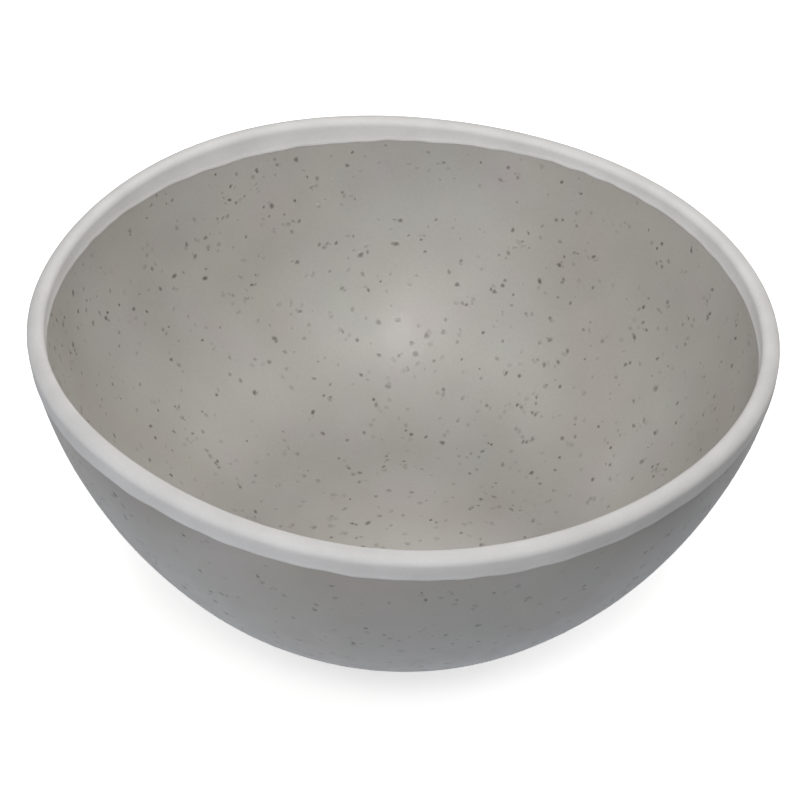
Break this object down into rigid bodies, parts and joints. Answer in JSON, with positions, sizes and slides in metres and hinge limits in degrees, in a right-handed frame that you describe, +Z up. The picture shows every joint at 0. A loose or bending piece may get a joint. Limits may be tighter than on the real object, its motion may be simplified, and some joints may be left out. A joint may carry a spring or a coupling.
{
  "type": "serving bowl",
  "caption": "Deep round stoneware serving bowl with a speckled grey satin glaze, a pale glazed lip and a low foot ring.",
  "frame": {"origin": "middle of the resting face, the underside of the foot ring", "axes": "+Z up along the bowl's axis; +X to the right and -Y towards a person who looks at the front"},
  "size_m": [0.254, 0.254, 0.111],
  "materials": {
    "clay": "bare fired stoneware, fine grit",
    "grey_glaze": "warm grey satin glaze with dark iron specks",
    "pale_glaze": "off-white satin glaze",
    "speck": "iron speck melted into the glaze"
  },
  "bodies": {
    "root": {"clay_body": "clay", "foot_ring": "clay", "inside_glaze": "grey_glaze", "outside_glaze": "grey_glaze", "rim_glaze": "pale_glaze"}
  },
  "joints": []
}
